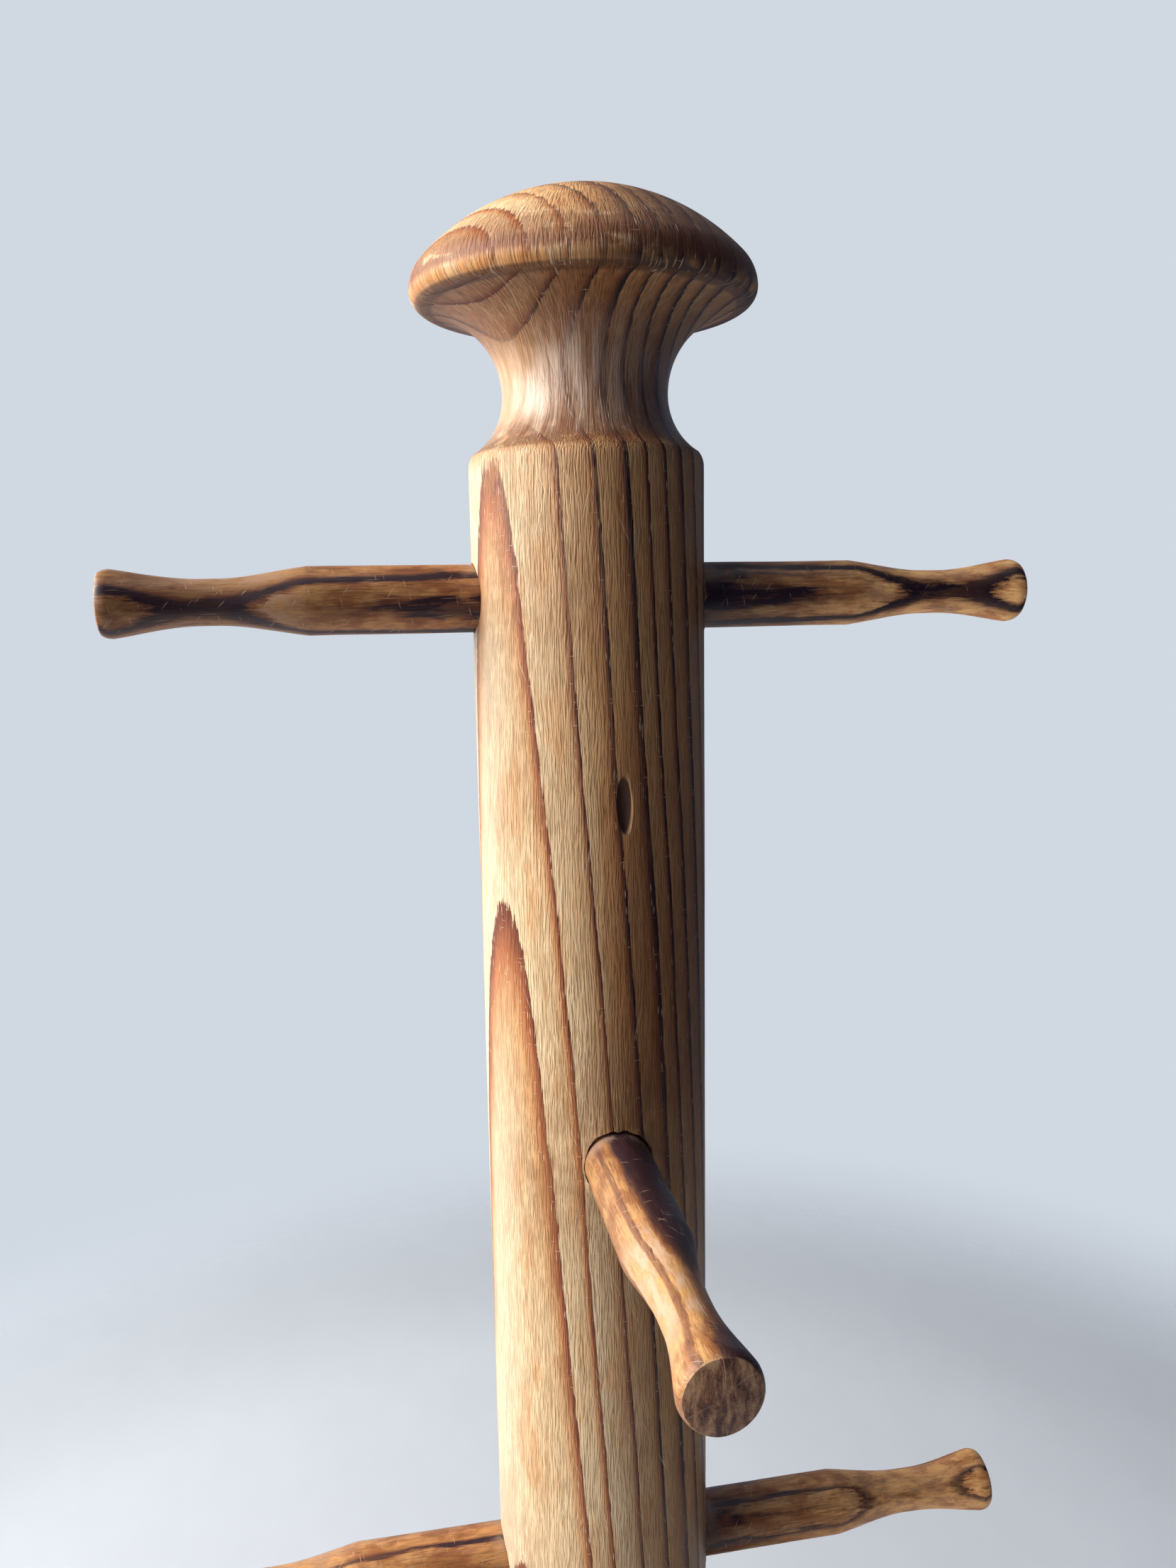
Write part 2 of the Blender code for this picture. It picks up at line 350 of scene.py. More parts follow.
class Surface(Graph):
    """Builds one material. place is the point on the surface, in mm."""

    def __init__(self, name):
        self.material = bpy.data.materials.new(name)
        self.material.use_nodes = True
        super().__init__(self.material.node_tree)
        self.shader = self.tree.nodes["Principled BSDF"]
        coords = self.tree.nodes.new("ShaderNodeTexCoord")
        self.place = self.vector('SCALE', coords.outputs["Object"], scale=1 / MM)

    def varnish(self, weight, roughness):
        self.put(self.shader.inputs["Coat Weight"], weight)
        self.shader.inputs["Coat Roughness"].default_value = roughness

    def finish(self, colour, roughness, normal, specular=0.5):
        self.put(self.shader.inputs["Base Color"], colour)
        self.put(self.shader.inputs["Roughness"], roughness)
        self.put(self.shader.inputs["Normal"], normal)
        self.shader.inputs["Specular IOR Level"].default_value = specular
        return self.material


# ---------------------------------------------------------------- pine

DENT_ANGLE = FRONT + math.radians(15.8)
DENT_HEIGHT = TIER_TOP - 35.2 * MM
PITH_ANGLE = FRONT + math.radians(-50)
PITH_DISTANCE = 84.0
PITH_LEAN = 0.056

# Heights in mm of the neck's lower corner and of the knob's rim.
SHOULDER = TIER_TOP / MM + 24.5
RIM = KNOB_TOP / MM - 19.2

# Each annual ring's dark outer edge, as distance from the pith at height 0, in mm,
# and how quickly it darkens towards that edge: below 1 makes a broad dark line.
RINGS = (
    (52.0, 1.0), (58.0, 1.0), (64.0, 1.0), (69.9, 1.0), (77.48, 0.85), (81.45, 0.6),
    (86.8, 1.1), (92.2, 1.0), (97.5, 0.6), (101.05, 0.75), (104.8, 0.7), (108.7, 0.55),
    (112.2, 0.75), (116.3, 0.6), (121.7, 0.8), (126.0, 0.7), (131.0, 0.7),
)

# From the pale wood just outside one dark edge to the next dark edge: in rings near the pith,
# whose latewood is a mild red-brown, and in the narrow dark rings further out.
INNER_RING_COLOURS = (
    (0.000, rgb(140, 82, 54)), (0.008, rgb(228, 200, 158)), (0.740, rgb(224, 190, 144)),
    (0.860, rgb(214, 162, 110)), (0.935, rgb(184, 112, 68)), (0.975, rgb(132, 72, 46)),
    (1.000, rgb(116, 62, 42)),
)
OUTER_RING_COLOURS = (
    (0.000, rgb(76, 44, 38)), (0.015, rgb(206, 158, 104)), (0.580, rgb(198, 146, 92)),
    (0.770, rgb(184, 126, 74)), (0.860, rgb(146, 92, 54)), (0.915, rgb(86, 50, 38)),
    (0.950, rgb(45, 26, 28)), (1.000, rgb(44, 24, 26)),
)

# What threads and streaks multiply the colour by, from hollow to ridge.
THREAD_TINTS = ((0.30, (0.74, 0.64, 0.54, 1)), (0.48, (1, 1, 1, 1)), (0.66, (1.13, 1.14, 1.15, 1)))
STREAK_TINTS = ((0.30, (0.86, 0.78, 0.70, 1)), (0.50, (1, 1, 1, 1)), (0.72, (1.10, 1.11, 1.12, 1)))
COMBED_TINTS = ((0.30, 0.70), (0.50, 1.0), (0.68, 1.16))

# The dome's surface where hands wear it, from rubbed bare to ingrained dirt.
WORN_DOME_COLOURS = (
    (0.34, rgb(240, 214, 172)), (0.46, rgb(222, 174, 116)), (0.54, rgb(184, 120, 66)),
    (0.66, rgb(116, 70, 38)),
)


def annual_rings(g, place, rings, pith, lean, fuzz):
    """Place within the ring, 0 just outside a dark edge to 1 at the next, and how far from the pith."""
    middle = (0.5, 0.5, 0.5)
    drift = g.vector('SUBTRACT', g.noise(place, (0.03, 0.03, 0.012), 1.0, colour=True), middle)
    tremor = g.vector('SUBTRACT', g.noise(place, (0.3, 0.3, 0.05), 2.0, colour=True), middle)
    moved = g.vector('ADD', place, g.vector('SCALE', drift, scale=1.8))
    moved = g.vector('ADD', moved, g.vector('SCALE', tremor, scale=0.4))
    flat = g.vector('MULTIPLY', g.vector('SUBTRACT', moved, (pith[0], pith[1], 0.0)), (1, 1, 0))
    height = g.split(place)[2]
    reach = g.scaled(height, lean, g.vector('LENGTH', flat))
    reach = g.plus(reach, fuzz)
    number = 0.0
    for (low, _), (high, _) in zip(rings, rings[1:]):
        number = g.plus(number, g.stretch(reach, low, high))
    count = len(rings) - 1
    share = g.maths('DIVIDE', number, count)
    powers = [(i / count, power / 2) for i, (_, power) in enumerate(rings[1:])]
    power = g.times(g.ramp(share, powers, 'CONSTANT'), 2.0)
    return g.maths('POWER', g.maths('FRACT', number), power), reach


def strokes(g, u, v, tilt, across, along, chance, seed):
    """Scattered thin scratches, 1 on a scratch: narrow cells of which a few are kept.

    The scratches lie tilt degrees from v in the u-v plane, across wide and along long in mm. chance
    is the share of the cells that hold one.
    """
    turn = math.radians(tilt)
    side = g.plus(g.times(u, math.cos(turn)), g.times(v, math.sin(turn)))
    up = g.minus(g.times(v, math.cos(turn)), g.times(u, math.sin(turn)))
    stretched = g.join(g.maths('DIVIDE', side, across), g.maths('DIVIDE', up, along), seed)
    distance, colour = g.cells(stretched, 1.0)
    kept = g.maths('LESS_THAN', g.split(colour)[0], chance)
    return g.times(kept, g.between(distance, 0.3, 0.08))


def fibres(g, place, fine):
    """Nearly straight threads that run along the third axis."""
    sway = g.noise(place, (0.2, 0.2, 0.045), 1.0, colour=True)
    swayed = g.vector('ADD', place, g.vector('SCALE', sway, scale=1.6))
    return g.noise(swayed, (fine, fine, fine * 0.075), 2.0, 0.6)


def pine_wood(g, place, within, outer, threads):
    """Colour of bare pine, and the height of its raised grain. outer is 1 where the rings are dark."""
    streaks = fibres(g, place, 0.9)
    clouds = g.noise(place, (0.1, 0.1, 0.05), 3.0, 0.55)
    warmth = g.noise(place, (0.17, 0.17, 0.05), 3.0, 0.6, 0.3)
    colour = g.mix(outer, g.ramp(within, INNER_RING_COLOURS), g.ramp(within, OUTER_RING_COLOURS))
    late = g.between(within, 0.60, 0.97)
    gold = g.times(g.between(warmth, 0.48, 0.66), 0.45)
    colour = g.mix(gold, colour, g.mix(late, rgb(212, 146, 84), rgb(132, 72, 40)))
    colour = g.mix(g.times(g.between(clouds, 0.5, 0.72), 0.3), colour, rgb(172, 120, 74))
    colour = g.mix(1.0, colour, g.ramp(threads, THREAD_TINTS), 'MULTIPLY')
    colour = g.mix(0.85, colour, g.ramp(streaks, STREAK_TINTS), 'MULTIPLY')
    relief = g.plus(g.ramp(threads, [(0.36, 0.0), (0.60, 1.0)]), g.times(streaks, 0.4))
    return colour, relief, late


def dent_masks(g, around, height):
    """1 inside the dent on the front of the post, and 1 on the torn lip along its right side."""
    aside = g.minus(around, (DENT_ANGLE - FRONT) * POST_RADIUS / MM - 0.1)
    up = g.maths('DIVIDE', g.minus(height, DENT_HEIGHT / MM), 5.0)
    away = g.vector('LENGTH', g.join(g.maths('DIVIDE', aside, 1.3), up, 0.0))
    lip = g.times(g.between(away, 0.92, 1.02), g.between(away, 1.25, 1.10))
    return g.between(away, 1.05, 0.9), g.times(lip, g.between(aside, 0.0, 0.8))


def post_places(g):
    """Where a point is on the post: lengths in mm, and masks that are 1 on a part of it."""
    x, y, height = g.split(g.place)
    forward = g.plus(g.times(x, math.cos(FRONT)), g.times(y, math.sin(FRONT)))
    sideways = g.minus(g.times(y, math.cos(FRONT)), g.times(x, math.sin(FRONT)))
    angle = g.maths('ARCTAN2', sideways, forward)
    radius = g.vector('LENGTH', g.join(x, y, 0.0))
    above_corner = g.between(height, SHOULDER + 0.5, SHOULDER + 3.5)
    return SimpleNamespace(
        x=x, y=y, height=height, forward=forward, sideways=sideways, angle=angle,
        around=g.times(angle, POST_RADIUS / MM),
        outward=g.minus(radius, g.maths('ABSOLUTE', g.minus(height, RIM))),
        right=g.between(sideways, -6.0, 16.0),
        head=g.times(g.between(height, RIM - 14, RIM - 7), g.between(radius, 7.0, 16.0)),
        dome=g.between(height, RIM + 1.0, RIM + 3.0),
        under=g.times(g.between(height, RIM - 12, RIM - 4), g.between(height, RIM + 0.1, RIM - 0.2)),
        band=g.times(g.between(height, RIM - 0.2, RIM + 0.1), g.between(height, RIM + 3.4, RIM + 0.8)),
        neck=g.times(above_corner, g.between(height, RIM - 1, RIM - 11)),
    )


def post_threads(g, at):
    """Fibres down the post, combed along the neck, and hairs that run out over the knob."""
    hair = g.noise(g.join(g.times(at.angle, 62.0), g.times(at.outward, 0.22), 4.0), 1.0, 3.0, 0.65)
    combing = g.noise(g.join(g.times(at.angle, 34.0), g.times(at.height, 0.16), 8.0), 1.0, 3.0, 0.7)
    above_shoulder = g.between(at.height, SHOULDER, SHOULDER + 4.0)
    below_knob = g.mix(above_shoulder, fibres(g, g.place, 3.3), combing)
    return g.split(g.mix(at.head, below_knob, hair))[0]


def handled_neck(g, colour, at, smudge):
    """Hands polish and darken the neck, its right side is darkened further as painted shade, and dirt
    gathers in the corner above the shoulder.
    """
    streaky = g.noise(g.join(g.times(at.angle, 7.0), g.times(at.height, 0.07), 2.0), 1.0, 3.0, 0.6)
    polish_and_shade = g.mix(g.between(streaky, 0.34, 0.66), rgb(152, 108, 78), rgb(232, 204, 178))
    # The right side of the neck is darkened as painted shade.
    polish_and_shade = g.mix(g.times(at.right, 0.68), polish_and_shade, rgb(104, 74, 58))
    polish_and_shade = g.mix(g.times(g.between(at.sideways, -5.0, -15.0), 0.6), polish_and_shade, rgb(222, 168, 108))
    colour = g.mix(g.times(at.neck, g.scaled(at.right, -0.35, 0.82)), colour, polish_and_shade)
    corner = g.times(
        g.between(at.height, SHOULDER - 0.4, SHOULDER + 0.5),
        g.between(at.height, SHOULDER + 8.0, SHOULDER + 1.5),
        g.between(smudge, 0.3, 0.55),
    )
    return g.mix(g.times(corner, 0.7), colour, rgb(110, 62, 42))


def worn_knob(g, colour, at, within, threads):
    """Painted shade under the knob, a worn rim painted lit on the left and shaded on the right, and a dome
    brightened as painted light, stained low down and painted darker on the right.
    """
    swirl = g.noise(g.place, (0.10, 0.10, 0.22), 4.0, 0.6, 0.7)
    swirl = g.plus(swirl, g.scaled(threads, 0.30, -0.15))
    # Painted shade under the knob, weaker towards the right.
    painted_shade_under = g.times(at.under, g.scaled(at.right, -0.45, 0.64))
    colour = g.mix(painted_shade_under, colour, rgb(168, 118, 74), 'MULTIPLY')

    colour = g.mix(g.times(at.dome, 0.25), colour, g.ramp(swirl, WORN_DOME_COLOURS))
    # The dome's colour is brightened as painted light, 1.5 times on the left and 1.2 times on the right.
    lift = g.scaled(at.right, -0.3, 1.5)
    colour = g.mix(at.dome, colour, g.vector('SCALE', colour, scale=lift))
    # Ring lines on the dome are darkened, more strongly towards the right as painted shade.
    rings = g.times(at.dome, g.between(within, 0.45, 0.85), g.scaled(at.right, 0.75, 0.25))
    colour = g.mix(g.times(rings, 0.5), colour, rgb(112, 68, 40))
    stained = g.times(
        at.dome,
        g.between(at.height, RIM + 13.0, RIM + 3.0),
        g.between(swirl, 0.27, 0.44),
        g.between(at.forward, -4.0, 8.0),
    )
    colour = g.mix(g.times(stained, 0.85), colour, rgb(126, 60, 12))
    # The right of the dome is darkened as painted shade.
    colour = g.mix(g.times(at.dome, at.right, 0.52), colour, rgb(92, 62, 48))

    worn_rim = g.times(at.band, g.stretch(swirl, 0.30, 0.52))
    # The worn rim is painted orange on the lit left and near black on the shaded right.
    rim_lit_and_shaded = g.mix(g.between(at.sideways, -9.0, 12.0), rgb(214, 142, 74), rgb(34, 20, 22))
    colour = g.mix(g.times(worn_rim, 0.85), colour, rim_lit_and_shaded)
    edge = g.times(g.between(at.height, RIM - 0.3, RIM - 0.1), g.between(at.height, RIM + 0.7, RIM + 0.3))
    return g.mix(g.times(edge, 0.65), colour, rgb(76, 42, 26))


def rubbed_post(g, colour, at, smudge, late):
    """Wood darkened by handles round the pegs, worn on the shoulder, painted paler on the left as a
    painted sheen, and darker on the right above the middle pegs.
    """
    for tier, flat in ((TIER_TOP, at.y), (TIER_MIDDLE, at.x), (TIER_BOTTOM, at.y)):
        away = g.vector('LENGTH', g.join(flat, g.minus(at.height, tier / MM), 0.0))
        rubbed = g.times(g.between(away, 30.0, 7.0), g.between(smudge, 0.25, 0.60))
        colour = g.mix(g.times(rubbed, 0.42), colour, rgb(148, 96, 56))

    # The shoulder is worn to a tan on the left.
    worn_top = g.times(
        g.between(at.height, SHOULDER - 12.0, SHOULDER - 1.0),
        g.between(smudge, 0.34, 0.6),
        g.between(at.height, SHOULDER + 1.5, SHOULDER - 0.5),
        g.minus(1.0, at.right),
    )
    colour = g.mix(g.times(worn_top, 0.5), colour, rgb(198, 138, 84))

    # Below it the left side is painted paler between the dark rings, a painted sheen on the side towards
    # the light.
    painted_sheen = g.times(
        g.between(at.sideways, -12.0, -20.0),
        g.between(at.height, SHOULDER, SHOULDER - 4.0),
        g.minus(1.0, late),
    )
    colour = g.mix(g.times(painted_sheen, 0.3), colour, rgb(250, 236, 212))

    # Above the middle pegs the wood is darker on the right.
    middle = TIER_MIDDLE / MM
    darker_on_right = g.times(
        g.between(at.height, middle - 4, middle + 16),
        g.between(at.height, middle + 95, middle + 35),
        g.between(at.sideways, -3.0, 7.0),
    )
    return g.mix(g.times(darker_on_right, 0.8), colour, (0.66, 0.55, 0.48, 1.0), 'MULTIPLY')


def post_scratches(g, at, late):
    """Flecks torn out of the dark rings and the rim, short ticks across the rings, and long scratches."""
    flecks = g.times(strokes(g, at.around, at.height, 2, 0.45, 3.5, 0.5, 3.0), late)
    fray = strokes(g, at.around, at.outward, 0, 0.4, 1.7, 0.8, 9.0)
    flecks = g.most(flecks, g.times(fray, at.band))
    ticks = g.times(strokes(g, at.around, at.height, 91, 0.35, 2.4, 0.16, 5.0), late)
    scratches = g.most(
        strokes(g, at.around, at.height, 24, 0.55, 12.0, 0.05, 1.0),
        strokes(g, at.around, at.height, -14, 0.55, 16.0, 0.05, 7.0),
    )
    rubs = g.most(
        strokes(g, at.around, at.height, 38, 0.4, 6.0, 0.25, 11.0),
        strokes(g, at.around, at.height, -12, 0.4, 7.0, 0.35, 13.0),
    )
    return flecks, ticks, g.most(scratches, g.times(rubs, at.neck))


def post_material(pith):
    g = Surface("pine post")
    at = post_places(g)
    threads = post_threads(g, at)
    spread = g.scaled(at.dome, 2.4, g.scaled(at.under, 0.8, 0.5))
    fuzz = g.times(g.minus(threads, 0.5), spread)
    within, reach = annual_rings(g, g.place, RINGS, pith, PITH_LEAN, fuzz)
    colour, relief, late = pine_wood(g, g.place, within, g.between(reach, 79.0, 93.0), threads)

    smudge = g.noise(g.place, (0.35, 0.35, 0.3), 3.0, 0.6)
    colour = handled_neck(g, colour, at, smudge)
    colour = worn_knob(g, colour, at, within, threads)
    combed = g.most(g.times(at.neck, 0.9), at.head)
    colour = g.mix(combed, colour, g.ramp(threads, COMBED_TINTS), 'MULTIPLY')
    colour = rubbed_post(g, colour, at, smudge, late)
    hollow, lip = dent_masks(g, at.around, at.height)
    # The inside of the dent is given a painted shade, and its torn lip a painted highlight.
    colour = g.mix(g.times(hollow, 0.92), colour, rgb(76, 45, 32))
    colour = g.mix(g.times(lip, 0.7), colour, rgb(226, 176, 118))
    flecks, ticks, scratches = post_scratches(g, at, late)
    pale = g.most(g.times(flecks, 0.8), g.times(ticks, 0.6), g.times(scratches, 0.45))
    colour = g.mix(pale, colour, rgb(234, 204, 164))

    smooth = g.most(g.times(at.neck, 0.35), hollow)
    relief = g.times(relief, g.minus(1.0, smooth))
    relief = g.minus(relief, g.times(g.most(scratches, ticks), 0.4))
    relief = g.plus(relief, g.times(late, 0.35), g.times(flecks, 0.7))
    roughness = g.minus(g.scaled(threads, 0.25, 0.34), g.times(at.neck, 0.06))
    g.varnish(g.scaled(at.neck, 0.45, 0.10), 0.38)
    return g.finish(colour, roughness, g.bump(relief, 0.12 * MM), specular=0.3)


def base_material():
    """The disc is cut from a flat board, so its grain runs along X."""
    g = Surface("pine base")
    x, y, z = g.split(g.place)
    place = g.join(z, y, x)
    rings = []
    for i in range(26):
        rings.append((40 + 5.2 * i + 1.4 * math.sin(2.1 * i), 0.9 + 0.2 * math.sin(3.7 * i)))
    threads = fibres(g, place, 3.3)
    fuzz = g.times(g.minus(threads, 0.5), 0.5)
    within, reach = annual_rings(g, place, rings, (-58.0, 26.0), 0.03, fuzz)
    colour, relief, late = pine_wood(g, place, within, g.between(reach, 70.0, 100.0), threads)
    scratches = g.most(
        strokes(g, x, y, 35, 0.6, 14.0, 0.05, 1.0),
        strokes(g, x, y, -60, 0.6, 16.0, 0.05, 7.0),
    )
    colour = g.mix(g.times(scratches, 0.4), colour, rgb(232, 200, 158))
    relief = g.plus(relief, g.times(late, 0.35))
    roughness = g.scaled(threads, 0.25, 0.34)
    g.varnish(0.1, 0.38)
    return g.finish(colour, roughness, g.bump(relief, 0.12 * MM), specular=0.3)


# ---------------------------------------------------------------- stained peg wood


# How a peg's wood differs from the others'. The rings lie flat to the way it is facing, in degrees
# from sideways to up, and lean along the peg. bands gives the stain's darkness at depths in mm from
# the peg's axis that way, and blotches is how strongly it is blotched. The next two numbers scale how
# light the wood is next to the post and at the waist: on the right pegs a painted shadow of the post
# at the root and painted light towards the end. rubbed is how pale the shoulder is rubbed.
PegLook = namedtuple("PegLook", "seed facing lean bands blotches root_tone waist_tone rubbed")

TWO_DARK_RINGS = (
    (-7.0, 0.7), (-5.4, 0.8), (-4.9, 0.1), (-2.6, 0.2), (-1.6, 0.75), (-0.9, 0.1), (1.6, 0.05), (2.9, 0.3),
    (3.5, 0.95), (4.2, 1.0), (4.75, 0.1), (5.9, 0.15), (6.3, 0.85), (7.5, 1.0),
)
ONE_THIN_RING = (
    (-7.0, 0.3), (-4.4, 0.3), (-4.0, 0.9), (-3.6, 0.15), (-0.4, 0.25), (0.0, 0.9), (0.5, 0.2), (4.4, 0.25),
    (4.85, 0.9), (5.05, 0.85), (5.3, 0.1), (7.5, 0.25),
)
WIDE_DARK_SIDE = (
    (-7.0, 0.7), (-4.2, 0.6), (-3.6, 0.5), (-3.0, 0.02), (1.1, 0.02), (1.4, 0.6), (2.2, 0.7), (2.5, 0.06),
    (3.5, 0.15), (4.2, 0.88), (4.9, 0.98), (7.5, 1.0),
)
PEG_LOOKS = {
    "peg_top_left": PegLook(61, -15, 0.02, TWO_DARK_RINGS, 1.0, 1.2, 0.6, 0.42),
    "peg_top_right": PegLook(62, 180, 0.026, TWO_DARK_RINGS, 1.6, 0.2, 3.1, 0.42),
    "peg_middle_front": PegLook(63, 58, 0.018, WIDE_DARK_SIDE, 0.4, 0.66, 1.0, 0.8),
    "peg_middle_back": PegLook(64, 20, 0.015, TWO_DARK_RINGS, 1.0, 0.9, 1.1, 0.42),
    "peg_bottom_left": PegLook(65, 36, 0.0, ONE_THIN_RING, 0.6, 0.9, 1.1, 0.42),
    "peg_bottom_right": PegLook(66, 149, 0.0, ONE_THIN_RING, 1.5, 0.2, 2.5, 0.42),
}

# The bands cover this depth in mm, half of it on each side of the axis.
BAND_SPAN = 16

# Distances in mm from the post's axis of a peg's root, at the post's surface, and of its outer end.
ROOT = POST_RADIUS / MM
END = PEG_OUTER / MM

END_GRAIN_COLOURS = ((0.40, rgb(80, 47, 40)), (0.51, rgb(150, 100, 72)), (0.64, rgb(208, 162, 116)))


def peg_places(g, direction, height):
    """Where a point is on a peg, in mm: sideways and up from its axis, and along it."""
    x, y, z = g.split(g.place)
    along = g.plus(g.times(x, direction[0]), g.times(y, direction[1]))
    side = g.minus(g.times(y, direction[0]), g.times(x, direction[1]))
    up = g.minus(z, height / MM)
    return SimpleNamespace(side=side, up=up, along=along, place=g.join(side, up, along))


def peg_stain(g, at, threads, look):
    """How dark the stain is, 0 to 1: bands, blotches, and darkening next to the post."""
    turn = math.radians(look.facing)
    depth = g.plus(g.times(at.side, math.cos(turn)), g.times(at.up, math.sin(turn)))
    wander = g.noise(at.place, (0.3, 0.3, 0.07), 2.0)
    ragged = g.noise(at.place, (1.3, 1.3, 0.11), 3.0, 0.65)
    depth = g.plus(depth, g.scaled(wander, 0.9, -0.45))
    depth = g.plus(depth, g.scaled(ragged, 1.0, -0.5))
    depth = g.plus(depth, g.scaled(threads, 0.5, -0.25))
    depth = g.scaled(g.minus(at.along, 50.0), -look.lean, depth)
    share = g.scaled(depth, 1 / BAND_SPAN, 0.5, clamp=True)
    dark = g.ramp(share, [(depth_at / BAND_SPAN + 0.5, level) for depth_at, level in look.bands])
    blotch = g.noise(at.place, (0.45, 0.45, 0.10), 3.0, 0.6, 0.4)
    # Blotchy darkening within 26 mm of the post.
    darker_near_post = g.times(g.between(at.along, ROOT + 26, ROOT + 3), g.between(blotch, 0.36, 0.60))
    blotted = g.times(g.between(blotch, 0.55, 0.72), 0.25 * look.blotches)
    dark = g.maths('ADD', dark, blotted, clamp=True)
    return g.maths('ADD', dark, g.times(darker_near_post, 0.4 * look.blotches), clamp=True)


def peg_wood(g, at, threads, smudge, dark, look):
    """The stained wood, lighter or darker along the peg, on the right pegs as painted shade by the post
    and painted light towards the end, with a shoulder rubbed pale.
    """
    body = g.mix(g.between(smudge, 0.38, 0.62), rgb(212, 157, 96), rgb(166, 110, 61))
    outer = g.stretch(at.along, ROOT, ROOT + 42)
    # Brightness along the peg: on the right pegs, painted shade by the post and painted light towards the
    # end.
    tone = g.scaled(outer, look.waist_tone - look.root_tone, look.root_tone)
    body = g.vector('SCALE', body, scale=tone)
    colour = g.mix(dark, body, g.mix(dark, rgb(150, 72, 38), rgb(50, 27, 34)))
    colour = g.mix(0.85, colour, g.ramp(threads, [(0.28, 0.5), (0.5, 1.0), (0.72, 1.25)]), 'MULTIPLY')
    shoulder = g.times(
        g.between(at.along, ROOT + 27, ROOT + 34),
        g.between(at.along, ROOT + 60, ROOT + 47),
        g.between(smudge, 0.38, 0.58),
        g.between(dark, 0.45, 0.1),
    )
    return g.mix(g.times(shoulder, look.rubbed), colour, rgb(216, 178, 142))


def peg_end_grain(g, at):
    """Dark mottled end grain, rubbed paler towards its rim."""
    blot = g.noise(at.place, (0.9, 0.32, 0.2), 5.0, 0.7, 0.3)
    off_axis = g.vector('LENGTH', g.join(at.side, at.up, 0.0))
    blot = g.plus(blot, g.times(g.between(off_axis, 3.0, 5.2), 0.06))
    return g.ramp(blot, END_GRAIN_COLOURS)


def peg_scratches(g, at):
    around = g.times(g.maths('ARCTAN2', at.up, at.side), PEG_RADIUS / MM)
    return g.most(
        strokes(g, around, at.along, 3, 0.35, 7.0, 0.16, 2.0),
        strokes(g, around, at.along, 58, 0.35, 5.0, 0.14, 4.0),
        strokes(g, around, at.along, -78, 0.35, 4.0, 0.12, 6.0),
    )


def peg_material(name, direction, height, look):
    """Dark stained wood with nearly flat rings."""
    g = Surface(name)
    at = peg_places(g, direction, height)
    threads = fibres(g, at.place, 3.4)
    smudge = g.noise(at.place, (0.4, 0.4, 0.2), 3.0, 0.6)
    dark = peg_stain(g, at, threads, look)
    colour = peg_wood(g, at, threads, smudge, dark, look)
    end = g.between(at.along, END - 0.7, END - 0.45)
    colour = g.mix(g.times(end, 0.9), colour, peg_end_grain(g, at))
    scratches = peg_scratches(g, at)
    colour = g.mix(g.times(scratches, 0.5), colour, rgb(220, 180, 134))

    # The top of the root is worn where it meets the post.
    root = g.between(at.along, ROOT + 3.2, ROOT + 0.6)
    worn = g.times(root, g.between(at.up, 0.0, 5.0), g.between(smudge, 0.3, 0.6))
    colour = g.mix(g.times(worn, 0.6), colour, rgb(168, 140, 116))
    relief = g.minus(threads, g.times(scratches, 0.4))
    roughness = g.scaled(smudge, 0.25, 0.32)
    return g.finish(colour, roughness, g.bump(relief, 0.07 * MM))


# ---------------------------------------------------------------- felt and steel


def felt_material():
    g = Surface("brown felt")
    fibre = g.noise(g.place, 5.0, 4.0, 0.7, 1.5)
    clump = g.noise(g.place, 0.8, 3.0, 0.6)
    colour = g.mix(fibre, rgb(58, 42, 30), rgb(112, 86, 62))
    colour = g.mix(g.times(clump, 0.4), colour, rgb(70, 50, 36))
    normal = g.bump(fibre, 0.25 * MM)
    return g.finish(colour, 0.95, normal, specular=0.2)


def steel_material():
    g = Surface("zinc plated steel")
    g.shader.inputs["Metallic"].default_value = 1.0
    cloud = g.noise(g.place, 0.9, 4.0, 0.65)
    fine = g.noise(g.place, 7.0, 2.0, 0.5)
    colour = g.mix(g.between(cloud, 0.35, 0.7), rgb(196, 190, 168), rgb(168, 164, 152))
    roughness = g.scaled(fine, 0.25, 0.22)
    return g.finish(colour, roughness, g.bump(fine, 0.03 * MM))


# ---------------------------------------------------------------- post


def knob_profile():
    """Dome, rounded rim, and the two coves of the neck down to the shoulder's edge."""
    dome_radius = 39.2 * MM
    dome_angle = math.radians(47)
    upper_round = 6.2 * MM
    lower_round = 2.6 * MM
    neck_radius = 14.7 * MM
    neck_height = TIER_TOP + 35 * MM
    upper_cove = 14.8 * MM
    lower_cove = 12.2 * MM
    shoulder_edge = 20.25 * MM
    quarter = math.pi / 2
    dome = arc((0.0, KNOB_TOP - dome_radius), dome_radius, quarter, quarter - dome_angle, 48)
    dome[0] = (0.0, KNOB_TOP)
    reach = dome_radius - upper_round
    rim_height = KNOB_TOP - dome_radius + reach * math.cos(dome_angle)
    rim_centre = (reach * math.sin(dome_angle), rim_height)
    upper_rim = arc(rim_centre, upper_round, quarter - dome_angle, 0.0, 12)
    lower_centre = (rim_centre[0] + upper_round - lower_round, rim_height)
    lower_rim = arc(lower_centre, lower_round, 0.0, math.radians(-75), 10)
    upper = arc((neck_radius + upper_cove, neck_height), upper_cove, math.radians(100), math.pi, 30)
    edge = math.acos((neck_radius + lower_cove - shoulder_edge) / lower_cove)
    lower = arc((neck_radius + lower_cove, neck_height), lower_cove, math.pi, math.pi + edge, 20)
    return dome + upper_rim[1:] + lower_rim[1:] + upper + lower[1:]


